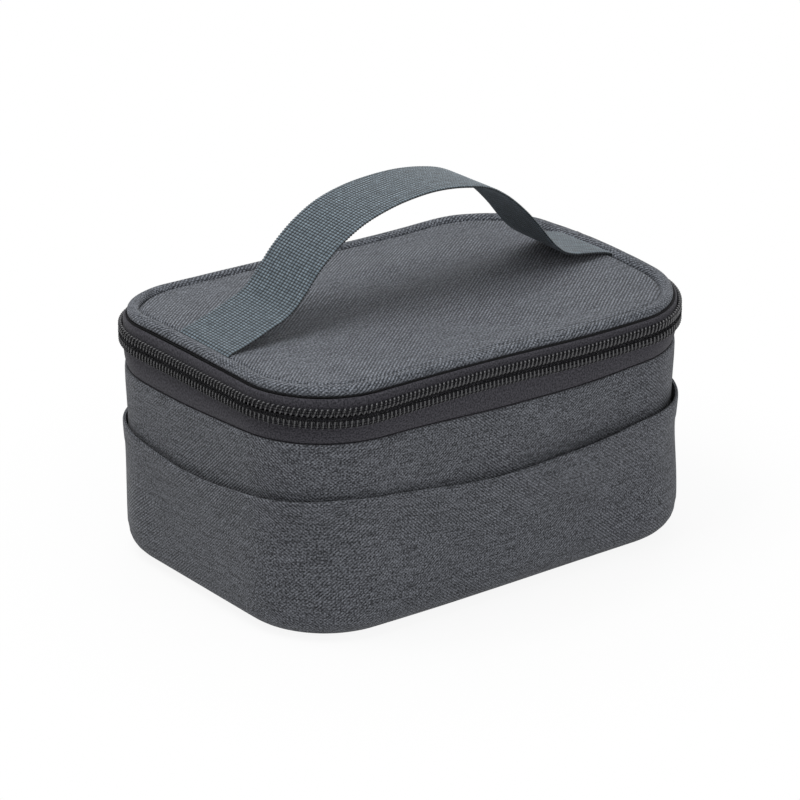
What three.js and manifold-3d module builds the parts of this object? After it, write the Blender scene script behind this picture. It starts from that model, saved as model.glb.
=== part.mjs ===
// Insulated lunch bag: a foam-lined cloth tub, a zipped lid on a cloth hinge, a sleeve pocket and a webbing
// handle. Millimetres. +Z is up, +X runs along the long side, -Y is the front, and the origin is the centre
// of the base.
import * as THREE from "three";
import { mergeVertices } from "three/addons/utils/BufferGeometryUtils.js";
import Module from "manifold-3d";

// Plan of the wall's outer face
const BAG_LENGTH = 234;
const BAG_WIDTH = 165;
const CORNER_RADIUS = 41;
const CORNER_STEPS = 6;

// Heights above the surface that the bag stands on
const TAPER_TOP_Z = 50;
const TAPE_SEAM_Z = 94;
const ZIP_Z = 109;
const LID_TOP_Z = 122.2;

// Cloth and foam, and the room between two layers
const CLOTH = 1;
const FOAM = 5;
const LINER = 0.6;
const LINER_CORNER = 2;
const ROOM = 0.2;

// The tub's lower edge
const EDGE_RADIUS = 11;
const EDGE_STEPS = 4;
const BASE_TAPER = 1;

// Sleeve pocket
const HEM_LOW_Z = 61;
const HEM_RISE = 10;
const HEM_DEPTH = 11;
const HEM_THICKNESS = 1.8;
const HEM_STAND_OFF = 0.5;
const HEM_SWELL_START = 2;
const HEM_STEPS = 4;

// Zip
const TAPE = 0.6;
const TAPE_OUTSET = 2.1;
const TAPE_ALLOWANCE = 6;
const COIL_HEIGHT = 4.5;
const COIL_THICKNESS = 2.1;
const COIL_SLIT = 1.4;
const COIL_PITCH = 2.3;
const COIL_GROOVE = 0.8;
const COIL_HEAD = 0.9;
const COIL_BACK = 0.5;
const COIL_BEVEL = 0.7;
const TAPE_MARGIN = 0.6;
const HINGE_OUTSET = 4.5;
const HINGE_SLIT = 0.4;

// Slider and its pull
const SLIDER_LENGTH = 15;
const SLIDER_WIDTH = 10.4;
const SLIDER_TAIL_WIDTH = 8.4;
const SLIDER_PLATE = 1.2;
const SLIDER_ROOM = 0.4;
const SLIDER_Y = 28;
const SLIDER_WAIST = 0.35;
const SLIDER_ROUND = 1.6;
const POST_LENGTH = 4;
const POST_THICKNESS = 0.8;
const POST_SET_BACK = 0.6;
const CROWN_LEG_RADIUS = 1.1;
const CROWN_SPAN = 5;
const CROWN_BAR = 1.2;
const CROWN_BAR_WIDTH = 2.6;
const PULL_LENGTH = 24;
const PULL_WIDTH = 6.6;
const PULL_THICKNESS = 1.2;
const PULL_EYE_RADIUS = 1.6;

// Lid
const ROLL_RADIUS = 4.2;
const ROLL_SIDES = 12;
const ROLL_DROP = 3.3;
const ROLL_OVERHANG = 0.5;
const LID_EDGE_DROP = 0.6;
const LID_EDGE_WIDTH = 3.2;
const BINDING_WIDTH = 8;
const LID_BINDING_WIDTH = 5;

// Handle
const STRAP_WIDTH = 38;
const STRAP_THICKNESS = 1.6;
const STRAP_REACH_LEFT = 104;
const STRAP_REACH_RIGHT = 88;
const STRAP_RISE = 51;
const STRAP_STEPS = 44;
// The arch from its left foot to its right one, as shares of the span and the rise
const STRAP_ARCH_SHARES = [
  [0, 0],
  [0.052, 0.053],
  [0.104, 0.15],
  [0.167, 0.324],
  [0.229, 0.53],
  [0.292, 0.724],
  [0.365, 0.877],
  [0.458, 0.977],
  [0.557, 1],
  [0.646, 0.973],
  [0.729, 0.877],
  [0.792, 0.738],
  [0.854, 0.524],
  [0.901, 0.304],
  [0.943, 0.114],
  [0.979, 0.024],
  [1, 0],
];

const CLOTH_GREY = 0x5a5d62;
const TAPE_GREY = 0x3d3c42;
const COIL_BLACK = 0x1b1b1d;
const WEBBING_GREY = 0x56636b;
const LINER_SILVER = 0xc4c7c9;
const FOAM_WHITE = 0xe6e6e2;
const METAL_BLACK = 0x2a2a2c;

const wasm = await Module();
wasm.setup();

// Plan outline. A station is a point of it with the outward normal there. The corners come in travel order,
// from the middle of the back round by the left, the front and the right.
const CORNERS = [
  { x: -1, y: 1, from: 90 },
  { x: -1, y: -1, from: 180 },
  { x: 1, y: -1, from: 270 },
  { x: 1, y: 1, from: 0 },
];

function cornerStation(corner, turn) {
  const angle = THREE.MathUtils.degToRad(corner.from + turn);
  const [nx, ny] = [Math.cos(angle), Math.sin(angle)];
  const x = corner.x * (BAG_LENGTH / 2 - CORNER_RADIUS) + nx * CORNER_RADIUS;
  const y = corner.y * (BAG_WIDTH / 2 - CORNER_RADIUS) + ny * CORNER_RADIUS;
  return { x, y, nx, ny };
}

function between(from, to, share) {
  const { lerp } = THREE.MathUtils;
  return { ...from, x: lerp(from.x, to.x, share), y: lerp(from.y, to.y, share) };
}

// The two ends of the straight side that follows a corner.
function straightAfter(i) {
  return [cornerStation(CORNERS[i], 90), cornerStation(CORNERS[(i + 1) % CORNERS.length], 0)];
}

// Each straight side is cut into that many steps.
function outline(straightSteps) {
  const series = (count, stationAt) => Array.from({ length: count }, (_, k) => stationAt(k / count));
  return CORNERS.flatMap((corner, i) => [
    ...series(CORNER_STEPS, (share) => cornerStation(corner, 90 * share)),
    ...series(straightSteps, (share) => between(...straightAfter(i), share)),
  ]);
}

const wholeRun = outline(1);

// The zip and the pocket go round the left, the front and the right, as far as the ends of the straight back.
const zippedRun = wholeRun;
const pocketRun = outline(HEM_STEPS).slice(0, 1 - HEM_STEPS);

// The straight part of the back, short of the zip's ends by the usual room.
const hingeRun = [
  { ...zippedRun.at(-1), x: zippedRun.at(-1).x - ROOM },
  { ...zippedRun[0], x: zippedRun[0].x + ROOM },
];

// The station that lies that far along the zip, measured at that outset.
function stationAlong(distance, outset) {
  const arc = (Math.PI / 2) * (CORNER_RADIUS + outset);
  let rest = distance;
  for (let i = 0; i < CORNERS.length - 1; i += 1) {
    const [start, end] = straightAfter(i);
    const side = Math.hypot(end.x - start.x, end.y - start.y);
    if (rest <= arc) return cornerStation(CORNERS[i], (90 * rest) / arc);
    if (rest <= arc + side) return between(start, end, (rest - arc) / side);
    rest -= arc + side;
  }
  return cornerStation(CORNERS.at(-1), (90 * Math.min(rest, arc)) / arc);
}

function zipLength(outset) {
  const sides = 2 * (BAG_WIDTH - 2 * CORNER_RADIUS) + (BAG_LENGTH - 2 * CORNER_RADIUS);
  return sides + 2 * Math.PI * (CORNER_RADIUS + outset);
}

// Sections are lists of [outset, z, share]: the distance out from the wall's outer face, the height, and the
// share of the way out from the vertical axis, which is 1 where it is left out. They run anticlockwise seen
// along the run.
function placed(station, [outset, z, share = 1]) {
  return [(station.x + station.nx * outset) * share, (station.y + station.ny * outset) * share, z];
}

// Joins each section to the next. A loop's last section meets its first, and an open run gets a cap at each
// end. A filled section starts and ends on the vertical axis.
function swept(run, sectionAt, { loop = true, filled = false } = {}) {
  const sections = run.map(sectionAt);
  const width = sections[0].length;
  const at = (j, i) => (j % run.length) * width + (i % width);
  const triangles = [];
  for (let j = 0; j < (loop ? run.length : run.length - 1); j += 1) {
    for (let i = 0; i < (filled ? width - 1 : width); i += 1) {
      triangles.push([at(j, i), at(j + 1, i), at(j + 1, i + 1)], [at(j, i), at(j + 1, i + 1), at(j, i + 1)]);
    }
  }
  if (!loop) {
    const last = (run.length - 1) * width;
    capOf(sections[0]).forEach(([a, b, c]) => triangles.push([a, b, c]));
    capOf(sections.at(-1)).forEach(([a, b, c]) => triangles.push([last + a, last + c, last + b]));
  }
  const geometry = new THREE.BufferGeometry();
  const points = run.flatMap((station, j) => sections[j].flatMap((point) => placed(station, point)));
  geometry.setAttribute("position", new THREE.Float32BufferAttribute(points, 3));
  geometry.setIndex(triangles.flat());
  return welded(geometry);
}

function capOf(section) {
  return THREE.ShapeUtils.triangulateShape(
    section.map(([outset, z]) => new THREE.Vector2(outset, z)),
    [],
  );
}

// Merges the shared vertices and leaves out the triangles that this brings to nothing.
function welded(geometry) {
  geometry.deleteAttribute("normal");
  geometry.deleteAttribute("uv");
  const merged = mergeVertices(geometry, 1e-4);
  const index = [...merged.index.array];
  const kept = [];
  for (let i = 0; i < index.length; i += 3) {
    const [a, b, c] = index.slice(i, i + 3);
    if (a !== b && b !== c && a !== c) kept.push(a, b, c);
  }
  merged.setIndex(kept);
  return merged;
}

function solid(geometry) {
  const merged = welded(geometry);
  const vertProperties = new Float32Array(merged.attributes.position.array);
  const triVerts = new Uint32Array(merged.index.array);
  return new wasm.Manifold(new wasm.Mesh({ numProp: 3, vertProperties, triVerts }));
}

function geometryOf(manifold) {
  const { numProp, vertProperties, triVerts } = manifold.getMesh();
  const geometry = new THREE.BufferGeometry();
  geometry.setAttribute("position", new THREE.BufferAttribute(vertProperties, numProp));
  geometry.setIndex(new THREE.BufferAttribute(triVerts, 1));
  return geometry;
}

// Tub. The wall leans out from the base up to TAPER_TOP_Z, and its lower edge is a quarter round.
const EDGE_LEAN = (-BASE_TAPER * (TAPER_TOP_Z - EDGE_RADIUS)) / TAPER_TOP_Z;
const EDGE_CENTRE = EDGE_LEAN - EDGE_RADIUS;

function lowerEdge(inset) {
  const radius = EDGE_RADIUS - inset;
  return Array.from({ length: EDGE_STEPS + 1 }, (_, i) => {
    const angle = (i / EDGE_STEPS) * (Math.PI / 2);
    return [EDGE_CENTRE + radius * Math.sin(angle), EDGE_RADIUS - radius * Math.cos(angle)];
  });
}

// The outset at which that edge reaches the height z.
function edgeOutset(edge, z) {
  const i = edge.findIndex((point) => point[1] > z);
  const [below, above] = [edge[i - 1], edge[i]];
  return THREE.MathUtils.mapLinear(z, below[1], above[1], below[0], above[0]);
}

const TAPE_INSET = CLOTH + ROOM;
const RIM_INSET = TAPE_INSET + TAPE + ROOM;
const FOAM_INSET = CLOTH + ROOM;
const LINER_INSET = FOAM_INSET + FOAM + ROOM;
const BASE_FOAM_Z = CLOTH + ROOM;
const LINER_Z = BASE_FOAM_Z + FOAM + ROOM;
const RIM_Z = TAPE_SEAM_Z - 1;

function wallPanel() {
  const outside = [...lowerEdge(0), [0, TAPER_TOP_Z], [0, TAPE_SEAM_Z]];
  const inside = [...lowerEdge(CLOTH), [-CLOTH, TAPER_TOP_Z], [-CLOTH, TAPE_SEAM_Z]];
  const section = [...outside, ...inside.reverse()];
  return swept(wholeRun, () => section);
}

function slab(edgeOutset, fromZ, toZ) {
  const shape = new THREE.Shape(wholeRun.map((s) => new THREE.Vector2(...placed(s, [edgeOutset, 0]))));
  return new THREE.ExtrudeGeometry(shape, { depth: toZ - fromZ, bevelEnabled: false }).translate(0, 0, fromZ);
}

function foamBase() {
  const topZ = BASE_FOAM_Z + FOAM;
  const edge = lowerEdge(FOAM_INSET);
  const side = [...edge.filter(([, z]) => z < topZ), [edgeOutset(edge, topZ), topZ]];
  return swept(wholeRun, () => [[0, BASE_FOAM_Z, 0], ...side, [0, topZ, 0]], { filled: true });
}

function foamWall() {
  const edge = lowerEdge(FOAM_INSET);
  const allowanceZ = TAPE_SEAM_Z - TAPE_ALLOWANCE;
  const inner = FOAM_INSET + FOAM;
  const section = [
    [EDGE_LEAN - inner, LINER_Z],
    [edgeOutset(edge, LINER_Z), LINER_Z],
    ...edge.filter(([, z]) => z > LINER_Z),
    [-FOAM_INSET, TAPER_TOP_Z],
    [-FOAM_INSET, allowanceZ - 2 * ROOM],
    [-RIM_INSET, allowanceZ - ROOM],
    [-RIM_INSET, RIM_Z],
    [-inner, RIM_Z],
    [-inner, TAPER_TOP_Z],
    [EDGE_LEAN - inner, EDGE_RADIUS],
  ];
  return swept(wholeRun, () => section);
}

function linerTub() {
  const [outer, inner] = [LINER_INSET, LINER_INSET + LINER];
  const section = [
    [0, LINER_Z, 0],
    [EDGE_LEAN - outer - LINER_CORNER, LINER_Z],
    [EDGE_LEAN - outer, LINER_Z + LINER_CORNER],
    [-outer, TAPER_TOP_Z],
    [-outer, RIM_Z],
    [-inner, RIM_Z],
    [-inner, TAPER_TOP_Z],
    [EDGE_LEAN - inner, LINER_Z + LINER + LINER_CORNER],
    [EDGE_LEAN - inner - LINER_CORNER, LINER_Z + LINER],
    [0, LINER_Z + LINER, 0],
  ];
  return swept(wholeRun, () => section, { filled: true });
}

// The binding caps the foam and the liner at the rim and hangs a little way down inside.
function rimBinding() {
  const inner = LINER_INSET + LINER + ROOM;
  const section = [
    [-inner - LINER, RIM_Z - BINDING_WIDTH],
    [-inner, RIM_Z - BINDING_WIDTH],
    [-inner, RIM_Z + ROOM],
    [-RIM_INSET, RIM_Z + ROOM],
    [-RIM_INSET, RIM_Z + ROOM + LINER],
    [-inner - LINER, RIM_Z + ROOM + LINER],
  ];
  return swept(wholeRun, () => section);
}

// The pocket's hem hangs low in the middle of each side and is drawn up at the corners.
function hemZ(station) {
  const onLongSide = Math.abs(station.ny) > Math.abs(station.nx);
  const along = onLongSide ? station.x : station.y;
  const half = (onLongSide ? BAG_LENGTH : BAG_WIDTH) / 2 - CORNER_RADIUS * (1 - Math.SQRT1_2);
  return HEM_LOW_Z + HEM_RISE * Math.sin((Math.PI / 2) * Math.min(1, Math.abs(along) / half)) ** 2;
}

// One band round the left, the front and the right, closed at its ends and its foot and open along its hem.
function pocketBand() {
  const [inner, outer] = [ROOM, ROOM + CLOTH];
  const halfway = EDGE_STEPS / 2;
  const foldZ = HEM_LOW_Z - HEM_DEPTH;
  const section = (station) => {
    const top = hemZ(station);
    const outside = [
      ...lowerEdge(-outer).slice(halfway),
      [outer, foldZ - HEM_SWELL_START],
      [outer + HEM_STAND_OFF, top - HEM_DEPTH],
      [HEM_STAND_OFF + HEM_THICKNESS, top],
    ];
    const inside = [
      ...lowerEdge(-inner).slice(halfway),
      [inner, foldZ - HEM_SWELL_START],
      [inner + HEM_STAND_OFF, top - HEM_DEPTH],
      [inner + HEM_STAND_OFF, top],
    ];
    return [...outside, ...inside.reverse()];
  };
  return swept(pocketRun, section, { loop: false });
}

// Zip, lower half: the tape rises from inside the wall's top edge and leans out to carry the coil.
const TAPE_FACE = TAPE_OUTSET + TAPE;
const COIL_LOW_Z = ZIP_Z - COIL_SLIT / 2 - COIL_HEIGHT;
const COIL_HIGH_Z = ZIP_Z + COIL_SLIT / 2 + COIL_HEIGHT;
const COIL_INNER = TAPE_FACE + ROOM / 2;
const COIL_OUTER = COIL_INNER + COIL_THICKNESS;

function tapeLower() {
  const topZ = ZIP_Z - COIL_SLIT / 2;
  const bendZ = COIL_LOW_Z - TAPE_MARGIN;
  const section = [
    [-TAPE_INSET - TAPE, TAPE_SEAM_Z - TAPE_ALLOWANCE],
    [-TAPE_INSET, TAPE_SEAM_Z - TAPE_ALLOWANCE],
    [-TAPE_INSET, TAPE_SEAM_Z],
    [TAPE_FACE, bendZ],
    [TAPE_FACE, topZ],
    [TAPE_OUTSET, topZ],
    [TAPE_OUTSET, bendZ + ROOM],
    [-TAPE_INSET - TAPE, TAPE_SEAM_Z + ROOM],
  ];
  return swept(zippedRun, () => section, { loop: false });
}

function hingeStripLower() {
  const topZ = ZIP_Z - HINGE_SLIT / 2;
  const section = [
    [-TAPE_INSET - TAPE, TAPE_SEAM_Z - TAPE_ALLOWANCE],
    [-TAPE_INSET, TAPE_SEAM_Z - TAPE_ALLOWANCE],
    [-TAPE_INSET, TAPE_SEAM_Z],
    [HINGE_OUTSET + TAPE, topZ],
    [HINGE_OUTSET, topZ],
    [-TAPE_INSET - TAPE, TAPE_SEAM_Z + ROOM],
  ];
  return swept(hingeRun, () => section, { loop: false });
}

// A coil is one wire, sewn flat on the tape. It bulges once for each turn and dips between turns, and its
// heads look towards the slit. Side is 1 above the slit and -1 below it, and the turns of each half face the
// dips of the other.
function coil(side) {
  const middle = (COIL_INNER + COIL_OUTER) / 2;
  const length = zipLength(middle);
  const steps = 2 * Math.round(length / COIL_PITCH);
  const run = Array.from({ length: steps + 1 }, (_, k) => stationAlong((length * k) / steps, middle));
  const section = (_, k) => {
    const dip = (k + (side > 0 ? 0 : 1)) % 2;
    const headZ = ZIP_Z + side * (COIL_SLIT / 2 + dip * COIL_HEAD);
    const backZ = ZIP_Z + side * (COIL_SLIT / 2 + COIL_HEIGHT - dip * COIL_BACK);
    const [low, high] = [Math.min(headZ, backZ), Math.max(headZ, backZ)];
    const outer = COIL_OUTER - dip * COIL_GROOVE;
    return [
      [COIL_INNER, low],
      [outer, low + COIL_BEVEL],
      [outer, high - COIL_BEVEL],
      [COIL_INNER, high],
    ];
  };
  return swept(run, section, { loop: false });
}

// Lid. The roll is the padded cord of cloth round its edge. The cloth of the zip turns in under it.
const ROLL_OUTSET = ROLL_OVERHANG - ROLL_RADIUS;
const ROLL_Z = LID_TOP_Z - ROLL_DROP;
const TUCK_ROOM = 1.2 * ROOM;

function rollPoint(degrees, gap = 0) {
  const angle = THREE.MathUtils.degToRad(degrees);
  const radius = ROLL_RADIUS + gap;
  return [ROLL_OUTSET + radius * Math.cos(angle), ROLL_Z + radius * Math.sin(angle)];
}

function lidPiping() {
  const section = Array.from({ length: ROLL_SIDES }, (_, i) => rollPoint((360 * (i + 0.5)) / ROLL_SIDES));
  return swept(wholeRun, () => section);
}

// The turned-in part that the upper tape and the upper hinge strip share, from the seam inwards and back.
function tuck() {
  const [near, far] = [TUCK_ROOM, TUCK_ROOM + TAPE];
  const seam = rollPoint(-20, far);
  return [
    seam,
    rollPoint(-25, near),
    rollPoint(-57, near),
    rollPoint(-90, near),
    rollPoint(-90, far),
    rollPoint(-57, far),
    [seam[0] - TAPE, seam[1] - 2 * TAPE],
  ];
}

function tapeUpper() {
  const fromZ = ZIP_Z + COIL_SLIT / 2;
  const section = [
    [TAPE_OUTSET, fromZ],
    [TAPE_FACE, fromZ],
    [TAPE_FACE, COIL_HIGH_Z + ROOM],
    ...tuck(),
    [TAPE_OUTSET, COIL_HIGH_Z],
  ];
  return swept(zippedRun, () => section, { loop: false });
}

function hingeStripUpper() {
  const fromZ = ZIP_Z + HINGE_SLIT / 2;
  const section = [[HINGE_OUTSET, fromZ], [HINGE_OUTSET + TAPE, fromZ], ...tuck()];
  return swept(hingeRun, () => section, { loop: false });
}

const ROLL_INNER = ROLL_OUTSET - ROLL_RADIUS;
const LID_FOAM_TOP = LID_TOP_Z - CLOTH - ROOM;
const LID_FOAM_Z = LID_FOAM_TOP - FOAM;
const LID_LINER_Z = LID_FOAM_Z - ROOM - LINER;

function lidTopPanel() {
  const edge = ROLL_INNER + ROOM;
  const flat = edge - LID_EDGE_WIDTH;
  const section = [
    [0, LID_TOP_Z - CLOTH, 0],
    [flat, LID_TOP_Z - CLOTH],
    [edge, LID_TOP_Z - CLOTH - LID_EDGE_DROP],
    [edge, LID_TOP_Z - LID_EDGE_DROP],
    [flat, LID_TOP_Z],
    [0, LID_TOP_Z, 0],
  ];
  return swept(wholeRun, () => section, { filled: true });
}

function lidFoam() {
  const edge = ROLL_INNER - ROOM;
  const flat = ROLL_INNER + ROOM - LID_EDGE_WIDTH;
  const section = [
    [0, LID_FOAM_Z, 0],
    [edge, LID_FOAM_Z],
    [edge, LID_FOAM_TOP - LID_EDGE_DROP],
    [flat, LID_FOAM_TOP],
    [0, LID_FOAM_TOP, 0],
  ];
  return swept(wholeRun, () => section, { filled: true });
}

// The lid's binding covers the edges that are turned in under the roll and the liner's edge.
function lidBinding() {
  const liner = [ROLL_INNER + ROOM, LID_LINER_Z - ROOM];
  const underTuck = 2 * TUCK_ROOM + TAPE;
  const [startX, startZ] = rollPoint(-74, underTuck);
  const [lowX, lowZ] = rollPoint(-92, underTuck);
  const section = [
    [liner[0] - LID_BINDING_WIDTH, liner[1] - LINER],
    [liner[0], liner[1] - LINER],
    [lowX, lowZ - LINER],
    [startX, startZ - LINER],
    [startX, startZ],
    [lowX, lowZ],
    liner,
    [liner[0] - LID_BINDING_WIDTH, liner[1]],
  ];
  return swept(wholeRun, () => section);
}

// Handle: webbing that lies flat on the lid at both ends and arches between them.
function strapPath() {
  const z = LID_TOP_Z + ROOM + STRAP_THICKNESS / 2;
  const end = BAG_LENGTH / 2 + ROLL_INNER - ROOM;
  const span = STRAP_REACH_LEFT + STRAP_REACH_RIGHT;
  const archPoint = ([along, up]) => new THREE.Vector2(along * span - STRAP_REACH_LEFT, z + up * STRAP_RISE);
  const middle = new THREE.SplineCurve(STRAP_ARCH_SHARES.map(archPoint)).getSpacedPoints(STRAP_STEPS);
  return [new THREE.Vector2(-end, z), ...middle, new THREE.Vector2(end, z)];
}

function handleStrap() {
  const path = strapPath();
  const side = (sign) =>
    path.map((point, i) => {
      const [before, after] = [path[Math.max(i - 1, 0)], path[Math.min(i + 1, path.length - 1)]];
      const across = new THREE.Vector2(before.y - after.y, after.x - before.x).normalize();
      const atFoot = Math.abs(point.y - path[0].y) < 1e-6;
      if (atFoot) across.set(0, 1);
      return point.clone().addScaledVector(across, (sign * STRAP_THICKNESS) / 2);
    });
  const shape = new THREE.Shape([...side(-1), ...side(1).reverse()]);
  return new THREE.ExtrudeGeometry(shape, { depth: STRAP_WIDTH, bevelEnabled: false })
    .rotateX(Math.PI / 2)
    .translate(0, STRAP_WIDTH / 2, 0);
}

// Slider, in its own frame: X runs outwards, Y along the zip, Z up, and the origin is on the wall's outer
// face at the zip's height. Its two plates hold the coils between them, and a thin post in the slit joins them.
const PLATE_OUTER = COIL_OUTER + SLIDER_ROOM;
const PLATE_FACE = PLATE_OUTER + SLIDER_PLATE;
const PLATE_INNER = TAPE_OUTSET - SLIDER_ROOM;
const PULL_FACE = PLATE_FACE + ROOM;
const CROWN_X = PULL_FACE + PULL_THICKNESS + ROOM;

function block(sizeX, sizeY, sizeZ, x, y, z) {
  return solid(new THREE.BoxGeometry(sizeX, sizeY, sizeZ).translate(x, y, z));
}

// A plate from x to x + thickness. Its outline's first axis points down and its second along the zip.
function plate(shape, x, thickness) {
  const options = { depth: thickness, bevelEnabled: false, curveSegments: 4 };
  return new THREE.ExtrudeGeometry(shape, options).rotateY(Math.PI / 2).translate(x, 0, 0);
}

// The shield outline of a zip slider: wide at the front, where the coils come in, and narrow at the tail.
function sliderOutline() {
  const [half, wide, tail] = [SLIDER_LENGTH / 2, SLIDER_WIDTH / 2, SLIDER_TAIL_WIDTH / 2];
  const [round, waist] = [SLIDER_ROUND, -SLIDER_WAIST * half];
  const shape = new THREE.Shape();
  shape.moveTo(-tail, half - round).lineTo(-tail, 0).lineTo(-wide, waist);
  shape.lineTo(-wide, -half + round).quadraticCurveTo(-wide, -half, -wide + round, -half);
  shape.lineTo(wide - round, -half).quadraticCurveTo(wide, -half, wide, -half + round);
  shape.lineTo(wide, waist).lineTo(tail, 0).lineTo(tail, half - round);
  shape.quadraticCurveTo(tail, half, tail - round, half).lineTo(round - tail, half);
  shape.quadraticCurveTo(-tail, half, -tail, half - round);
  return shape;
}

function sliderBody() {
  const outer = solid(plate(sliderOutline(), PLATE_OUTER, SLIDER_PLATE));
  const inner = solid(plate(sliderOutline(), PLATE_INNER - SLIDER_PLATE, SLIDER_PLATE));
  const postSpan = PLATE_OUTER - PLATE_INNER + SLIDER_PLATE;
  const postY = (POST_LENGTH - SLIDER_LENGTH) / 2 + POST_SET_BACK;
  const post = block(postSpan, POST_LENGTH, POST_THICKNESS, (PLATE_OUTER + PLATE_INNER) / 2, postY, 0);
  const legSpan = CROWN_X - PLATE_FACE + SLIDER_PLATE / 2;
  const legX = PLATE_FACE - SLIDER_PLATE / 2 + legSpan / 2;
  const round = new THREE.CylinderGeometry(CROWN_LEG_RADIUS, CROWN_LEG_RADIUS, legSpan, 10);
  const leg = solid(round.rotateZ(Math.PI / 2).translate(legX, 0, 0));
  const farLeg = block(legSpan, CROWN_BAR, 2 * CROWN_LEG_RADIUS, legX, -CROWN_SPAN, 0);
  const barLength = CROWN_SPAN + CROWN_LEG_RADIUS + CROWN_BAR / 2;
  const barX = CROWN_X + CROWN_BAR / 2;
  const bar = block(CROWN_BAR, barLength, CROWN_BAR_WIDTH, barX, CROWN_LEG_RADIUS - barLength / 2, 0);
  return geometryOf([inner, post, leg, farLeg, bar].reduce((sum, piece) => sum.add(piece), outer));
}

// The pull hangs by its eye from the crown's round leg.
function sliderPull() {
  const half = PULL_WIDTH / 2;
  const tip = PULL_LENGTH - half;
  const shape = new THREE.Shape();
  shape.absarc(0, 0, half, Math.PI * 0.5, Math.PI * 1.5, false);
  shape.absarc(tip, 0, half, Math.PI * 1.5, Math.PI * 2.5, false);
  const eye = new THREE.Path();
  eye.absarc(0, 0, PULL_EYE_RADIUS, 0, Math.PI * 2, true);
  shape.holes.push(eye);
  return plate(shape, PULL_FACE, PULL_THICKNESS);
}

function mesh(name, geometry, color, roughness = 0.9, metalness = 0) {
  const made = new THREE.Mesh(geometry, new THREE.MeshStandardMaterial({ color, roughness, metalness }));
  made.name = name;
  return made;
}

const tub = new THREE.Group();
tub.add(
  mesh("wall_panel", wallPanel(), CLOTH_GREY),
  mesh("bottom_panel", slab(EDGE_CENTRE - ROOM, 0, CLOTH), CLOTH_GREY),
  mesh("pocket_band", pocketBand(), CLOTH_GREY),
  mesh("foam_base", foamBase(), FOAM_WHITE, 0.8),
  mesh("foam_wall", foamWall(), FOAM_WHITE, 0.8),
  mesh("liner_tub", linerTub(), LINER_SILVER, 0.35, 0.4),
  mesh("rim_binding", rimBinding(), TAPE_GREY),
  mesh("zip_tape_lower", tapeLower(), TAPE_GREY),
  mesh("zip_coil_lower", coil(-1), COIL_BLACK, 0.35),
  mesh("hinge_strip_lower", hingeStripLower(), CLOTH_GREY),
);

const lid = new THREE.Group();
lid.add(
  mesh("lid_top_panel", lidTopPanel(), CLOTH_GREY),
  mesh("lid_piping", lidPiping(), CLOTH_GREY),
  mesh("lid_foam", lidFoam(), FOAM_WHITE, 0.8),
  mesh("lid_liner", slab(ROLL_INNER + CLOTH, LID_LINER_Z, LID_LINER_Z + LINER), LINER_SILVER, 0.35, 0.4),
  mesh("lid_binding", lidBinding(), TAPE_GREY),
  mesh("zip_tape_upper", tapeUpper(), TAPE_GREY),
  mesh("zip_coil_upper", coil(1), COIL_BLACK, 0.35),
  mesh("hinge_strip_upper", hingeStripUpper(), CLOTH_GREY),
  mesh("handle_strap", handleStrap(), WEBBING_GREY),
);

const slider = new THREE.Group();
slider.position.set(BAG_LENGTH / 2, SLIDER_Y, ZIP_Z);
slider.add(
  mesh("slider_body", sliderBody(), METAL_BLACK, 0.4, 0.8),
  mesh("slider_pull", sliderPull(), METAL_BLACK, 0.4, 0.8),
);

const bag = new THREE.Group();
bag.add(tub, lid, slider);

export default bag;
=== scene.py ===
"""Insulated lunch bag: the sewn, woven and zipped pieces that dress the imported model."""

import math

import bpy
import numpy as np
from mathutils import Matrix, Vector

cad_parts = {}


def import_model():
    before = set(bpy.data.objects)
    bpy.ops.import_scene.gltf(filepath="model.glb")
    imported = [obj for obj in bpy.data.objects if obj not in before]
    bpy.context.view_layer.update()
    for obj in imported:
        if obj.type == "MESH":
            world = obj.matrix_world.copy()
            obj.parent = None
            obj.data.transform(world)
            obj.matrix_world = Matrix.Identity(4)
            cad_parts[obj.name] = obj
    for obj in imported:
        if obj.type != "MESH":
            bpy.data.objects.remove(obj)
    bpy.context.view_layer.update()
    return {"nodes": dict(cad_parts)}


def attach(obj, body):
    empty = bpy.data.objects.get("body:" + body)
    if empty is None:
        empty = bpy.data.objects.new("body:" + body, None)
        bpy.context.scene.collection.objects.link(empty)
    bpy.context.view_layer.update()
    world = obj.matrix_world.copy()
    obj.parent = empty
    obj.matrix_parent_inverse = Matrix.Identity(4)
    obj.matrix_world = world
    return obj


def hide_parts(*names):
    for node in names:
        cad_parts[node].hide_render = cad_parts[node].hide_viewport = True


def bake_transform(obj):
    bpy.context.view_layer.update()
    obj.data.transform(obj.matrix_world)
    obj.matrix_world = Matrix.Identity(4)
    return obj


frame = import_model()
MM = 0.001

# The tub's plan and heights, in millimetres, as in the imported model
HALF_LENGTH, HALF_WIDTH, CORNER = 117.0, 82.5, 41.0
TAPER, TAPER_TOP, EDGE_RADIUS = 1.0, 50.0, 11.0
TAPE_SEAM, HEM_DEPTH = 94.0, 11.0

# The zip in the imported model: its middle, its pitch, and its coils from their inner to their outer side
ZIP_Z, PITCH = 109.0, 2.3
COIL_IN, COIL_OUT, COIL_SLIT, COIL_HIGH = 2.8, 4.9, 1.4, 4.5


# Outline of the tub seen from above

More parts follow.
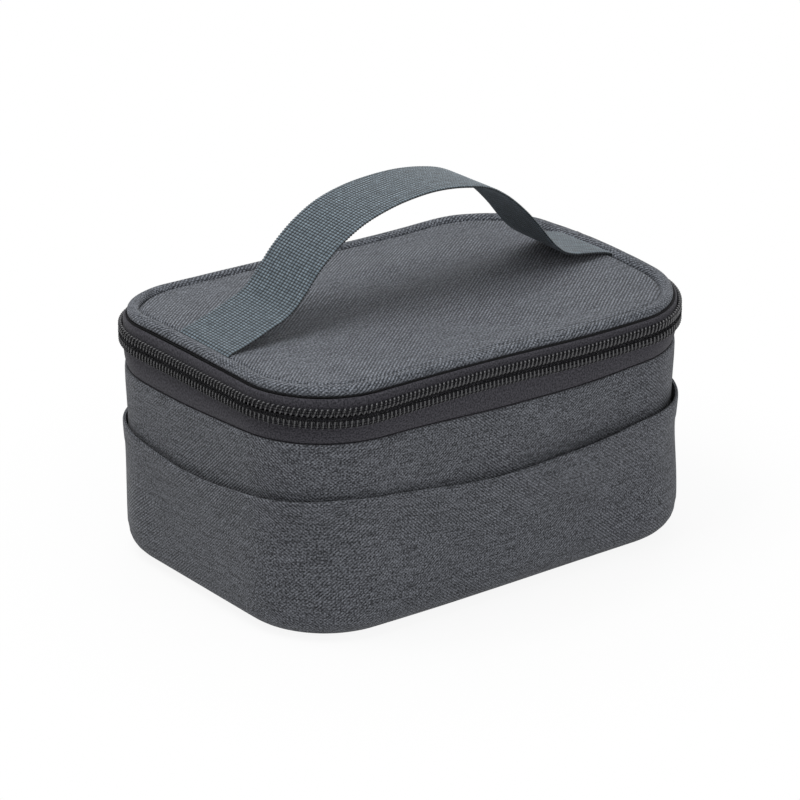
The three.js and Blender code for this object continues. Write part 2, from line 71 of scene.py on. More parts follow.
class Run:
    """Points along the wall's outline, with the outward normal and the distance travelled, in millimetres."""

    def __init__(self, x, y, nx, ny, s, closed, length):
        self.x, self.y, self.nx, self.ny, self.s = x, y, nx, ny, s
        self.closed, self.length = closed, length

    def __len__(self):
        return len(self.s)

    def at(self, s):
        """The same run, read at other distances."""
        size = self.length if self.closed else None
        read = [np.interp(s, self.s, v, period=size) for v in (self.x, self.y, self.nx, self.ny)]
        scale = np.hypot(read[2], read[3])
        return Run(read[0], read[1], read[2] / scale, read[3] / scale, np.asarray(s, float), False, self.length)

    def places(self, out, z):
        """One point for each point of the run, at those distances out from it and at heights z."""
        return np.stack([self.x + self.nx * out, self.y + self.ny * out, z], axis=1)


def outline(corner_steps=26, long_steps=64, short_steps=34):
    """The wall's outline, from the back's left end round by the left, the front and the right."""
    rows = []
    for k, (sx, sy, start) in enumerate([(-1, 1, 90), (-1, -1, 180), (1, -1, 270), (1, 1, 0)]):
        cx, cy = sx * (HALF_LENGTH - CORNER), sy * (HALF_WIDTH - CORNER)
        for t in np.linspace(0, 1, corner_steps + 1):
            a = math.radians(start + 90 * t)
            rows.append((cx + CORNER * math.cos(a), cy + CORNER * math.sin(a), math.cos(a), math.sin(a)))
        steps = short_steps if k % 2 == 0 else long_steps
        size = 2 * ((HALF_WIDTH if k % 2 == 0 else HALF_LENGTH) - CORNER)
        x, y, nx, ny = rows[-1]
        rows += [(x - ny * size * t, y + nx * size * t, nx, ny) for t in np.arange(1, steps) / steps]
    x, y, nx, ny = np.array(rows).T
    gaps = np.hypot(np.diff(x, append=x[0]), np.diff(y, append=y[0]))
    s = np.concatenate([[0], np.cumsum(gaps)[:-1]])
    return Run(x, y, nx, ny, s, True, gaps.sum())


RING = outline()
BACK_LENGTH = 2 * (HALF_LENGTH - CORNER)
ZIP_LENGTH = RING.length - BACK_LENGTH


def open_run(start, end, step):
    """The part of the outline between two distances."""
    return RING.at(np.linspace(start, end, max(2, int(round((end - start) / step)) + 1)))


def waves(s, t, seed, scale, count=9):
    """Smooth seeded undulation from -1 to 1 over distances s and t, with features about scale long."""
    rng = np.random.default_rng(seed)
    total = 0
    for _ in range(count):
        angle, phase = rng.uniform(0, 2 * math.pi), rng.uniform(0, 2 * math.pi)
        k = 2 * math.pi / (scale * rng.uniform(0.7, 1.6))
        total = total + np.sin(k * (s * math.cos(angle) + t * math.sin(angle)) + phase)
    return total / (count * 0.7)


def smooth(x, a, b):
    """0 up to a, 1 from b, with a soft step between them."""
    t = np.clip((x - a) / (b - a), 0, 1)
    return t * t * (3 - 2 * t)


# The filled bag slouches: its lid leans to the right and the back, and its seams wander a little

class Course:
    """A value that changes smoothly along the outline, from (distance, value) pairs in millimetres."""

    def __init__(self, *pairs):
        at, value = np.array(pairs, float).T
        self.fine = np.arange(0, RING.length, 2.0)
        raw = np.interp(self.fine, at, value, period=RING.length)
        window = np.hanning(21)
        self.value = np.convolve(np.concatenate([raw[-10:], raw, raw[:10]]), window / window.sum(), "valid")

    def __call__(self, s):
        return np.interp(s, self.fine, self.value, period=RING.length)


# The distances go round by the left back corner (0 to 64), the left side (to 147), the left front corner (to 212),
# the front (to 364), the right front corner (to 428), the right side (to 511), the right back corner (to 576) and
# the back (to 728).

# Height of the middle of the lid's roll
ROLL_MIDDLE = Course(
    (0, 115.1), (20, 115.9), (40, 118.2), (64, 120.9), (100, 121.5), (147, 121.3), (180, 121.6), (211, 121.6),
    (240, 121.0), (280, 119.8), (324, 117.8), (364, 116.7), (400, 116.1), (430, 116.3), (450, 116.8), (470, 116.9),
    (490, 116.0), (511, 114.3), (540, 111.7), (575, 110.6), (600, 110.6), (625, 111.3), (660, 113.1), (700, 114.4),
)
# Height of the zip, and of the seam under its lower tape, over those of the level bag
ZIP_SHIFT = Course(
    (0, -3.2), (20, -1.6), (50, 0.4), (112, 1.3), (162, 2.0), (195, 1.6), (233, 2.3), (270, 2.1), (300, 0.7),
    (321, -0.5), (366, -1.0), (400, -0.6), (424, 0), (515, 0), (545, -1.8), (575, -4.0), (600, -4.6), (660, -4.0),
    (700, -3.4),
)
SEAM_SHIFT = Course(
    (0, -0.4), (60, -1.0), (100, -0.3), (130, 1.6), (156, 3.6), (193, 4.2), (233, 2.8), (277, 0.1), (321, -1.0),
    (366, 0.5), (400, 0.5), (430, 0), (700, 0),
)
# Height of the pocket's hem, and how far the hem stands off the wall
HEM_HEIGHT = Course(
    (0, 64), (25, 65), (50, 66.5), (72, 63.6), (98, 61.6), (130, 64.6), (155, 68.8), (191, 72.4), (231, 67.8),
    (254, 64.2), (276, 62.4), (300, 62.6), (319, 64.2), (363, 68.2), (388, 69.6), (410, 68.4), (440, 64.4),
    (470, 62.0), (511, 67.4), (560, 70.4), (700, 66.0),
)
HEM_LOOSE = Course(
    (0, 0.3), (38, 0.3), (60, 1.0), (90, 1.7), (150, 1.6), (211, 1.6), (300, 3.2), (364, 4.6), (384, 2.6),
    (400, 0.3), (420, 0.4), (450, 1.0), (560, 0.7), (700, 0.3),
)
# How far out the corners lie, the foot of the pocket lies, and the wall flares under the zip
CORNER_SHIFT = Course(
    (0, 0), (38, -0.8), (64, 0), (340, 0), (368, -1.4), (395, -2.6), (410, -2.3), (424, -0.9), (432, 0), (700, 0),
)
FOOT_SHIFT = Course(
    (0, 0), (150, 0), (168, -0.7), (200, -0.6), (225, 0.3), (250, 0.9), (290, 0.8), (340, 0.3), (364, 0.2),
    (400, 0), (700, 0),
)
FLARE = Course((0, 1.8), (50, 1.8), (80, 3.0), (190, 2.8), (240, 1.9), (700, 1.9))
# How much broader than round the roll is, and how deep the groove beside it is, from 0 to 1
ROLL_BROAD = Course((0, 0.3), (60, 0), (380, 0), (420, 0.9), (460, 1.5), (520, 1.5), (590, 0.9), (700, 0.4))
GROOVE = Course(
    (0, 1), (64, 0.9), (147, 0.6), (190, 0.35), (215, 0.1), (364, 0.05), (395, 0.4), (425, 1), (700, 1),
)

# The wall's bulge and a second one low down, each with its upper end, and where the other forms begin
BULGE, BULGE_TOP, LOW_BULGE, LOW_BULGE_TOP = 1.15, 104.0, 0.35, 80.0
CORNER_FROM, CORNER_FULL, FLARE_FROM = 12.0, 58.0, 60.0

# Level heights that the slouch is shared out between, and how far under the roll's middle its seam lies
FIRM_TOP, ZIP_LOW, ZIP_HIGH, ROLL_SEAM = 40.0, 103.6, 114.4, 117.3
SEAM_UNDER_ROLL = 0.94


def on_pocket(s):
    """1 where the pocket covers the wall, 0 along the back."""
    return smooth(s, 1, 10) * (1 - smooth(s, ZIP_LENGTH - 10, ZIP_LENGTH - 1))


def swell(s, z):
    """How far the filled wall swells out at that place."""
    bulge = BULGE * np.sqrt(np.sin(math.pi * np.clip(z / BULGE_TOP, 0, 1)))
    low_bulge = LOW_BULGE * np.sin(math.pi * np.clip(z / LOW_BULGE_TOP, 0, 1))
    flare = FLARE(s) * smooth(z, FLARE_FROM, TAPE_SEAM) * (1 - smooth(z, TAPE_SEAM + 1, BULGE_TOP)) * on_pocket(s)
    corner = CORNER_SHIFT(s) * smooth(z, CORNER_FROM, CORNER_FULL) * (1.2 - 0.2 * smooth(z, TAPE_SEAM + 2, BULGE_TOP))
    return bulge + low_bulge + flare + corner


def slouched(s, section):
    """The level section, [points, 2] or [run, points, 2], as it lies on the slouching bag at distances s."""
    section = np.asarray(section, float)
    if section.ndim == 2:
        section = np.broadcast_to(section, (len(s), *section.shape))
    out, z = section[..., 0], section[..., 1]
    low, zipped = SEAM_SHIFT(s)[:, None], ZIP_SHIFT(s)[:, None]
    seam = (ROLL_MIDDLE(s) - SEAM_UNDER_ROLL - ROLL_SEAM)[:, None]
    marks = [FIRM_TOP, TAPE_SEAM, ZIP_LOW, ZIP_HIGH, ROLL_SEAM]
    shifts = [0 * low, low, zipped, zipped, seam]
    shift = shifts[0] + 0 * z
    for i in range(1, len(marks)):
        share = np.clip((z - marks[i - 1]) / (marks[i] - marks[i - 1]), 0, 1)
        shift = shift + share * (shifts[i] - shifts[i - 1])
    return np.stack([out + swell(s[:, None], z), z + shift], axis=-1)


# Meshes

def make_object(name, vertices, faces, uvs, sharp_from=40):
    """An object from points in millimetres. Edges that turn by more than sharp_from degrees stay sharp, and none
    where it is 0."""
    mesh = bpy.data.meshes.new(name)
    mesh.from_pydata([tuple(v) for v in np.asarray(vertices, float) * MM], [], faces)
    layer = mesh.uv_layers.new(name="UVMap")
    layer.data.foreach_set("uv", (np.asarray(uvs, float) * MM).astype(np.float32).ravel())
    mesh.validate()
    mesh.shade_smooth()
    if sharp_from:
        mesh.set_sharp_from_angle(angle=math.radians(sharp_from))
    made = bpy.data.objects.new(name, mesh)
    bpy.context.scene.collection.objects.link(made)
    return made


def grid(points, closed_run, u, v, run_length=0.0):
    """Quads over points[j][i], closed along i, with u along j and v along i for the weave."""
    rows, cols = points.shape[:2]
    faces, uvs = [], []
    v = np.broadcast_to(v, (rows, cols))
    last = np.linalg.norm(points[:, 0] - points[:, -1], axis=1)
    around = np.concatenate([v, (v[:, -1] + last)[:, None]], axis=1)
    for j in range(rows if closed_run else rows - 1):
        k = (j + 1) % rows
        uj, uk = u[j], u[k] if k else run_length
        for i in range(cols):
            m = (i + 1) % cols
            faces.append((j * cols + i, k * cols + i, k * cols + m, j * cols + m))
            uvs += [(uj, around[j, i]), (uk, around[k, i]), (uk, around[k, i + 1]), (uj, around[j, i + 1])]
    return faces, uvs


def section_of(out, z):
    """A section for each point of a run, from its points' distances out and their heights."""
    return np.stack(np.broadcast_arrays(out, z), axis=-1)


def end_caps(rows, cols):
    """The two faces that close a grid's ends."""
    return [tuple(range(cols)), tuple((rows - 1) * cols + i for i in reversed(range(cols)))]


def sweep(name, run, section):
    """A closed piece from a section [run, points, 2], which is distance out and height, at each point of a run."""
    out, z = section[..., 0], section[..., 1]
    points = np.stack([run.x[:, None] + run.nx[:, None] * out, run.y[:, None] + run.ny[:, None] * out, z], axis=-1)
    v = np.concatenate([[0], np.cumsum(np.hypot(np.diff(out[0]), np.diff(z[0])))])
    faces, uvs = grid(points, run.closed, run.s, v, run.length)
    rows, cols = points.shape[:2]
    if not run.closed:
        faces += end_caps(rows, cols)
        for j in (0, rows - 1):
            order = range(cols) if j == 0 else reversed(range(cols))
            uvs += [(out[j, i], z[j, i]) for i in order]
    return make_object(name, points.reshape(-1, 3), faces, uvs)


def disc(name, shares, top_of, thickness, outset):
    """A closed panel, in rings that are shares of the outline at that outset. top_of gives its upper face's height
    at x, y, the ring's share and the distance along the outline."""
    shares = np.asarray(shares, float)
    px = (RING.x + RING.nx * outset)[None, :] * shares[:, None]
    py = (RING.y + RING.ny * outset)[None, :] * shares[:, None]
    upper = np.stack([px, py, top_of(px, py, shares[:, None], RING.s[None, :])], axis=-1)
    lower = upper.copy()
    lower[..., 2] -= thickness
    both = np.concatenate([lower, upper[::-1]])
    centre_low = [0, 0, upper[0, :, 2].mean() - thickness]
    centre_up = [0, 0, centre_low[2] + thickness]
    count, size = both.shape[:2]
    vertices = np.concatenate([both.reshape(-1, 3), [centre_low, centre_up]])
    faces = []
    for r in range(count - 1):
        for j in range(size):
            k = (j + 1) % size
            faces.append((r * size + j, r * size + k, (r + 1) * size + k, (r + 1) * size + j))
    low, up = len(vertices) - 2, len(vertices) - 1
    for j in range(size):
        k = (j + 1) % size
        faces.append((low, k, j))
        faces.append((up, (count - 1) * size + j, (count - 1) * size + k))
    uvs = [vertices[i][:2] for f in faces for i in f]
    return make_object(name, vertices, faces, uvs)


def tube(path, radius, sides):
    """The points, faces and weave of a round tube along a path, with its ends closed. The radius is one number, or
    one for each point of the path."""
    ahead = np.roll(path, -1, axis=0) - np.roll(path, 1, axis=0)
    ahead[0], ahead[-1] = path[1] - path[0], path[-1] - path[-2]
    ahead /= np.linalg.norm(ahead, axis=1)[:, None]
    side = np.cross(ahead, [0.0, 0.0, 1.0])
    weak = np.linalg.norm(side, axis=1) < 0.15
    side[weak] = np.cross(ahead[weak], [0.35, 0.93, 0.1])
    side /= np.linalg.norm(side, axis=1)[:, None]
    for i in range(1, len(side)):
        flat = side[i - 1] - ahead[i] * np.dot(side[i - 1], ahead[i])
        side[i] = flat / np.linalg.norm(flat)
    other = np.cross(ahead, side)
    angles = np.linspace(0, 2 * math.pi, sides, endpoint=False)
    radius = np.broadcast_to(radius, (len(path),))
    ring = (side[:, None] * np.cos(angles)[None, :, None] + other[:, None] * np.sin(angles)[None, :, None])
    points = path[:, None] + ring * radius[:, None, None]
    s = np.concatenate([[0], np.cumsum(np.linalg.norm(np.diff(path, axis=0), axis=1))])
    faces, uvs = grid(points, False, s, np.linspace(0, 1, sides, endpoint=False) * 6 * radius[0])
    faces = [f[::-1] for f in faces]
    uvs = [uvs[i * 4 + k] for i in range(len(uvs) // 4) for k in (3, 2, 1, 0)]
    faces += end_caps(len(points), sides)
    uvs += [(0, 0)] * (2 * sides)
    return points.reshape(-1, 3), faces, uvs


def join_tubes(name, tubes):
    """One object from several tubes."""
    vertices, faces, uvs, start = [], [], [], 0
    for points, more, uv in tubes:
        vertices.append(points)
        faces += [tuple(i + start for i in f) for f in more]
        uvs += uv
        start += len(points)
    return make_object(name, np.concatenate(vertices), faces, uvs, sharp_from=0)


# Materials

# The webbing's weave, in millimetres: the pitch of its ribs along it, and of its cells across it
RIB, CELL = 1.45, 38.0 / 18


class Nodes:
    """Short names for building a node tree."""

    def __init__(self, name):
        self.material = bpy.data.materials.new(name)
        self.material.use_nodes = True
        self.tree = self.material.node_tree
        self.shader = self.tree.nodes["Principled BSDF"]

    def new(self, kind, **settings):
        node = self.tree.nodes.new(kind)
        for key, value in settings.items():
            setattr(node, key, value)
        return node

    def put(self, socket, value):
        if isinstance(value, bpy.types.NodeSocket):
            self.tree.links.new(value, socket)
        else:
            socket.default_value = value

    def math(self, operation, a, b=0.0, c=0.0):
        node = self.new("ShaderNodeMath", operation=operation)
        for socket, value in zip(node.inputs, (a, b, c)):
            self.put(socket, value)
        return node.outputs[0]

    def mix(self, factor, a, b):
        node = self.new("ShaderNodeMix", data_type="RGBA")
        self.put(node.inputs[0], factor)
        self.put(node.inputs[6], a)
        self.put(node.inputs[7], b)
        return node.outputs[2]

    def tint(self, colour, share):
        """The colour times a number."""
        node = self.new("ShaderNodeVectorMath", operation="SCALE")
        self.put(node.inputs[0], colour)
        self.put(node.inputs["Scale"], share)
        return node.outputs[0]

    def scaled(self, vector, x, y, z=1.0):
        node = self.new("ShaderNodeMapping")
        self.put(node.inputs["Vector"], vector)
        node.inputs["Scale"].default_value = (x, y, z)
        return node.outputs[0]

    def noise(self, vector, per_metre, detail, rough=0.5):
        """Noise with that many features in a metre along each axis."""
        node = self.new("ShaderNodeTexNoise")
        self.put(node.inputs["Vector"], self.scaled(vector, *per_metre))
        node.inputs["Scale"].default_value = 1.0
        node.inputs["Detail"].default_value = detail
        node.inputs["Roughness"].default_value = rough
        return node.outputs[0]

    def ramp(self, value, low, high, to_low=0.0, to_high=1.0):
        """The value taken from one range to another, and held at its ends."""
        node = self.new("ShaderNodeMapRange")
        for socket, number in zip(node.inputs, (value, low, high, to_low, to_high)):
            self.put(socket, number)
        return node.outputs[0]

    def uv(self):
        """The weave's coordinates, in metres."""
        return self.new("ShaderNodeUVMap").outputs[0]

    def where(self):
        """The place on the object, in metres."""
        return self.new("ShaderNodeTexCoord").outputs["Object"]

    def split(self, vector):
        node = self.new("ShaderNodeSeparateXYZ")
        self.put(node.inputs[0], vector)
        return node.outputs[0], node.outputs[1]

    def bump(self, height, distance, strength, below=None):
        """The normal of a relief that is distance metres high, over the one below it."""
        node = self.new("ShaderNodeBump")
        self.put(node.inputs["Height"], height)
        node.inputs["Distance"].default_value = distance
        node.inputs["Strength"].default_value = strength
        if below is not None:
            self.put(node.inputs["Normal"], below)
        return node.outputs[0]

    def finish(self, colour, rough, normal=None, **sockets):
        self.put(self.shader.inputs["Base Color"], colour)
        self.put(self.shader.inputs["Roughness"], rough)
        if normal is not None:
            self.put(self.shader.inputs["Normal"], normal)
        for name, value in sockets.items():
            self.shader.inputs[name.replace("_", " ").title().replace("Ior", "IOR")].default_value = value
        return self.material


def grey(r, g, b):
    """An opaque colour, which is linear."""
    return (r, g, b, 1.0)


def heather(name, dark, light, pitch, twill, depth):
    """Two-tone woven polyester. The weave shows as two crossing sets of fine diagonals, of which one or the other
    comes out more, and slubs run along the weft. pitch is the diagonals' spacing in metres, a positive twill brings
    out the rising set everywhere, and depth is how dark the weave's gaps are."""
    n = Nodes(name)
    uv = n.uv()
    u, v = n.split(uv)
    drift = n.math("MULTIPLY", n.noise(uv, (150, 150), 2.0), 2.2)
    across, along = n.math("MULTIPLY", u, math.pi / pitch[0]), n.math("MULTIPLY_ADD", v, math.pi / pitch[1], drift)
    rising = n.math("SINE", n.math("SUBTRACT", across, along))
    falling = n.math("SINE", n.math("ADD", across, along))
    lead = n.math("ADD", n.ramp(n.noise(uv, (17, 21), 1.0), 0.38, 0.62, -0.8, 0.8), twill)
    lead = n.math("MINIMUM", n.math("MAXIMUM", lead, -1.0), 1.0)
    weave = n.math("ADD", n.math("MULTIPLY", rising, n.math("MULTIPLY_ADD", lead, 0.5, 0.5)),
                   n.math("MULTIPLY", falling, n.math("MULTIPLY_ADD", lead, -0.5, 0.5)))
    slub = n.noise(uv, (90, 1100), 2.0, 0.6)
    fine = n.noise(uv, (1000, 1400), 1.0, 0.6)
    upright = n.noise(uv, (1500, 300), 1.0)
    blend = n.math("ADD", n.math("MULTIPLY", slub, 0.26),
                   n.math("ADD", n.math("MULTIPLY", fine, 0.5), n.math("MULTIPLY", upright, 0.24)))
    colour = n.mix(n.ramp(blend, 0.42, 0.58), dark, light)
    cloud = n.ramp(n.noise(uv, (30, 60), 3.0), 0.3, 0.72, 0.94, 1.06)
    shade = n.math("MULTIPLY", cloud, n.ramp(weave, -1.0, 1.0, 1.0 - depth, 1.0 + depth))
    woven = n.tint(colour, shade)
    normal = n.bump(weave, 0.00012, 0.9, n.bump(fine, 0.0003, 0.4))
    return n.finish(woven, 0.86, normal, sheen_weight=0.1, sheen_roughness=0.5, specular_ior_level=0.2)


CLOTH = heather("heather_cloth", grey(0.022, 0.0235, 0.027), grey(0.14, 0.147, 0.166),
                pitch=(0.00095, 0.0008), twill=0.0, depth=0.55)
LID_CLOTH = heather("heather_lid", grey(0.028, 0.031, 0.0375), grey(0.163, 0.1755, 0.2),
                    pitch=(0.00115, 0.00097), twill=0.6, depth=0.68)


def tape_material():
    n = Nodes("zip_tape")
    uv = n.uv()
    _, v = n.split(uv)
    ribs = n.math("ABSOLUTE", n.math("SINE", n.math("MULTIPLY", v, math.pi / 0.00045)))
    speck = n.noise(uv, (1300, 1300), 1.0)
    colour = n.mix(n.ramp(speck, 0.36, 0.64), grey(0.0125, 0.0118, 0.016), grey(0.053, 0.051, 0.0615))
    normal = n.bump(ribs, 0.00007, 0.8, n.bump(speck, 0.00018, 0.7))
    return n.finish(colour, 0.8, normal, sheen_weight=0.06, specular_ior_level=0.25)


def thread_material():
    n = Nodes("dark_thread")
    u, v = n.split(n.uv())
    ply = n.math("SINE", n.math("MULTIPLY", n.math("ADD", u, n.math("MULTIPLY", v, 0.6)), 2 * math.pi / 0.0005))
    shade = n.ramp(ply, -1.0, 1.0, 0.7, 1.15)
    return n.finish(n.tint((0.006, 0.006, 0.007), shade), 0.8, n.bump(ply, 0.00006, 0.8), specular_ior_level=0.12)


def coil_material():
    n = Nodes("zip_coil")
    speck = n.noise(n.where(), (900, 900, 900), 2.0)
    colour = n.mix(speck, grey(0.034, 0.034, 0.037), grey(0.07, 0.07, 0.074))
    return n.finish(colour, n.ramp(speck, 0.3, 0.7, 0.22, 0.36), None, specular_ior_level=0.6)


def webbing_material():
    """Plain ribbed webbing: rows of small cells, with dark holes where the rows and the ribs meet."""
    n = Nodes("webbing")
    uv = n.uv()
    u, v = n.split(uv)
    ribs = n.math("ABSOLUTE", n.math("SINE", n.math("MULTIPLY", u, math.pi / (RIB * MM))))
    rows = n.math("ABSOLUTE", n.math("SINE", n.math("MULTIPLY", v, math.pi / (CELL * MM))))
    deep = n.math("MULTIPLY", n.math("POWER", ribs, 0.8), n.math("POWER", rows, 0.6))
    fibres = n.noise(uv, (1500, 2500), 1.0)
    slub = n.noise(uv, (260, 500), 2.0)
    colour = n.mix(n.ramp(slub, 0.35, 0.66), grey(0.07, 0.092, 0.11), grey(0.122, 0.156, 0.182))
    shade = n.math("MULTIPLY", n.ramp(deep, 0.2, 0.85, 0.0, 1.6), n.ramp(fibres, 0.3, 0.7, 0.75, 1.2))
    normal = n.bump(fibres, 0.00006, 0.7, n.bump(deep, 0.0003, 0.7))
    return n.finish(n.tint(colour, shade), 0.66, normal, sheen_weight=0.1, specular_ior_level=0.3)


def liner_material():
    n = Nodes("liner_film")
    uv = n.uv()
    crease = n.new("ShaderNodeTexVoronoi", feature="DISTANCE_TO_EDGE")
    n.put(crease.inputs["Vector"], n.scaled(uv, 60, 75))
    soft = n.noise(uv, (30, 40), 4.0, 0.6)
    grain = n.noise(uv, (1400, 1400), 1.0)
    colour = n.mix(n.ramp(soft, 0.3, 0.7), grey(0.26, 0.267, 0.28), grey(0.38, 0.388, 0.402))
    height = n.math("ADD", soft, n.ramp(crease.outputs[0], 0.0, 0.2, 0.0, 0.12))
    normal = n.bump(height, 0.0007, 0.5, n.bump(grain, 0.00003, 0.5))
    return n.finish(colour, n.ramp(soft, 0.3, 0.7, 0.28, 0.46), normal, metallic=0.8)


def metal_material():
    n = Nodes("slider_enamel")
    where = n.where()
    fine = n.noise(where, (1500, 1500, 1500), 2.0)
    worn = n.noise(where, (300, 300, 300), 3.0)
    colour = n.mix(n.ramp(worn, 0.55, 0.75), grey(0.045, 0.045, 0.048), grey(0.1, 0.1, 0.104))
    return n.finish(colour, n.ramp(fine, 0.3, 0.7, 0.26, 0.38), n.bump(fine, 0.00002, 0.5), metallic=0.6)


TAPE = tape_material()
COIL = coil_material()
WEBBING = webbing_material()
LINER = liner_material()
METAL = metal_material()
THREAD = thread_material()


def dress(piece, material, body, slot, *nodes):
    """Gives the piece its material and the body that it rides on, and shows it instead of those nodes. slot is not
    used.
    """
    piece.data.materials.append(material)
    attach(piece, body)
    if nodes:
        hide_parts(*nodes)
    return piece


# Tub

# How far in the wall's foot lies, and the middle of its round lower edge
LEAN = -TAPER * (TAPER_TOP - EDGE_RADIUS) / TAPER_TOP
EDGE_CENTRE = LEAN - EDGE_RADIUS
EDGE_POINTS = 9
WALL_CLOTH = 0.75
# The pocket's outer and inner face, out from the wall's, and the length over which its ends are sewn flat
POCKET_OUTER, POCKET_INNER, POCKET_END = 1.05, 0.3, 22.0
# Its turned hem, from the stitching up: height, and how far the fold stands out
HEM_UP = np.array([0.0, 0.6, 1.6, 4.0, 7.0, 9.0, 10.0, 10.55, 10.85])[None, :]
HEM_OUT = np.array([0.0, 0.18, 0.3, 0.42, 0.5, 0.5, 0.4, 0.12, -0.3])[None, :]


def lower_edge(out_radius, down_radius):
    """The round lower edge of the tub, from under it up to the wall."""
    a = np.linspace(0, math.pi / 2, EDGE_POINTS)[None, :]
    return section_of(EDGE_CENTRE + out_radius * np.sin(a), EDGE_RADIUS - down_radius * np.cos(a))


def ripple(s, z):
    """The soft waves that cloth over foam keeps."""
    return 0.34 * waves(s, z, 11, 95) * np.sin(math.pi * np.clip(z / TAPE_SEAM, 0, 1))


def wall():
    """The wall's cloth, which lies a little higher under the pocket and turns in at the tape's seam."""
    heights = np.concatenate([np.linspace(EDGE_RADIUS + 4, TAPE_SEAM - 3, 30), [TAPE_SEAM - 1.2, TAPE_SEAM - 0.3]])
    edge = lower_edge(EDGE_RADIUS + 0.1, EDGE_RADIUS - 0.15 - 1.35 * on_pocket(RING.s)[:, None])
    rise = slouched(RING.s, section_of(ripple(RING.s[:, None], heights) - 0.1, heights))
    rise[:, -2, 0] -= 0.1
    rise[:, -1, 0] -= 0.5
    outer = np.concatenate([edge, rise], axis=1)
    inner = outer[:, ::-1].copy()
    inner[..., 0] -= WALL_CLOTH
    inner[:, -EDGE_POINTS:] = edge[:, ::-1] + (-0.1, 0.8)
    return sweep("wall_cloth", RING, np.concatenate([outer, inner], axis=1))


def pocket():
    """The pocket's cloth round three sides, snug at its foot and looser towards its turned hem."""
    run = open_run(0.3, ZIP_LENGTH - 0.3, 2.0)
    s = run.s[:, None]
    top = HEM_HEIGHT(s) + 0.3 * waves(s, 0 * s, 5, 60)
    foot = section_of(FOOT_SHIFT(s), 0)
    edge = lower_edge(EDGE_RADIUS + 2.1, EDGE_RADIUS - 0.12) + foot
    inner_edge = lower_edge(EDGE_RADIUS + 1.2, EDGE_RADIUS - 0.95) + foot
    share = np.linspace(0, 1, 22)[None, :]
    rise = EDGE_RADIUS + 3 + share * (top - HEM_DEPTH - EDGE_RADIUS - 3)
    ends = smooth(s, 0, POCKET_END) * (1 - smooth(s, ZIP_LENGTH - POCKET_END, ZIP_LENGTH))
    loose = share**3 * HEM_LOOSE(s) * ends * (1 + 0.5 * waves(s, rise, 23, 70))
    body = swell(s, rise) + ripple(s, rise) + loose + FOOT_SHIFT(s) * (1 - smooth(rise, 14, 45))
    hem_z = top - HEM_DEPTH + HEM_UP
    hem_stand = 0.5 * ends * HEM_UP / HEM_DEPTH
    hem = body[:, -1:] + hem_stand + HEM_OUT + swell(s, hem_z) - swell(s, rise[:, -1:])
    folded_in = hem - HEM_OUT + 0.25 - 0.25 * (HEM_UP > 10)
    outer = [edge, section_of(body + POCKET_OUTER, rise), section_of(hem + POCKET_OUTER, hem_z)]
    inner = [inner_edge, section_of(body + POCKET_INNER, rise), section_of(folded_in, np.minimum(hem_z, top - 0.45))]
    outer, inner = np.concatenate(outer, axis=1), np.concatenate(inner, axis=1)
    return sweep("pocket_cloth", run, np.concatenate([outer, inner[:, ::-1]], axis=1))


def bottom():
    """The flat cloth bottom."""
    shares = [0.3, 0.6, 0.8, 0.9, 0.96, 0.99, 1.0]
    return disc("bottom_cloth", shares, lambda x, y, share, s: 1.15 + 0 * x, 1.0, EDGE_CENTRE - 0.25)


dress(wall(), CLOTH, "tub", "cloth", "wall_panel")
dress(pocket(), CLOTH, "tub", "cloth", "pocket_band")
dress(bottom(), CLOTH, "tub", "cloth", "bottom_panel")


# Zip tapes, hinge and coils

def thin(path, thickness):
    """A closed section round a path of [out, z] points, of that thickness, on the path's left."""
    path = np.asarray(path, float)
    step = np.gradient(path, axis=0)
    across = np.stack([-step[:, 1], step[:, 0]], axis=1)
    across /= np.linalg.norm(across, axis=1)[:, None]
    return np.concatenate([path, (path + across * thickness)[::-1]])


def spline(points, count):
    """Points spread along a smooth curve through the given ones."""
    points = np.asarray(points, float)
    t = np.concatenate([[0], np.cumsum(np.linalg.norm(np.diff(points, axis=0), axis=1))])
    slope = np.gradient(points, t, axis=0)
    fine = np.linspace(0, t[-1], count)
    k = np.clip(np.searchsorted(t, fine) - 1, 0, len(t) - 2)
    h = (t[k + 1] - t[k])[:, None]
    w = ((fine - t[k])[:, None]) / h
    return ((2 * w**3 - 3 * w**2 + 1) * points[k] + (w**3 - 2 * w**2 + w) * h * slope[k]
            + (-2 * w**3 + 3 * w**2) * points[k + 1] + (w**3 - w**2) * h * slope[k + 1])


# Paths of distance out and height: the two tapes, the turn under the roll, and the hinge
LOWER_TAPE = [(-1.3, 88.2), (-1.25, 91.5), (-1.15, 94.0), (-0.2, 96.2), (1.15, 99.2), (2.2, 102.0), (2.65, 104.5),
              (2.68, 108.3)]
UPPER_TAPE = [(2.68, 109.7), (2.68, 112.6), (2.72, 114.6), (2.5, 115.9), (1.9, 116.5)]
TUCK = [(0.9, 116.2), (-0.4, 115.4), (-2.0, 114.8), (-3.7, 114.4)]
HINGE = [(-1.3, 88.2), (-1.2, 92), (-1.1, 94.0), (0.4, 97.0), (2.6, 101.5), (4.3, 105.5), (5.0, 108.2), (5.0, 109.8),
         (4.3, 112.2), (2.7, 115.0), (1.15, 117.2)]

zip_run = open_run(0.0, ZIP_LENGTH, 2.2)


def folded(name, run, path, thickness):
    """A strip of cloth along the run, with that path across it."""
    return sweep(name, run, slouched(run.s, thin(path, thickness)))


dress(folded("tape_low", zip_run, spline(LOWER_TAPE, 30), 0.5), TAPE, "tub", "tape", "zip_tape_lower")
dress(folded("tape_high", zip_run, spline(UPPER_TAPE + TUCK, 34), 0.45), TAPE, "lid", "tape", "zip_tape_upper")


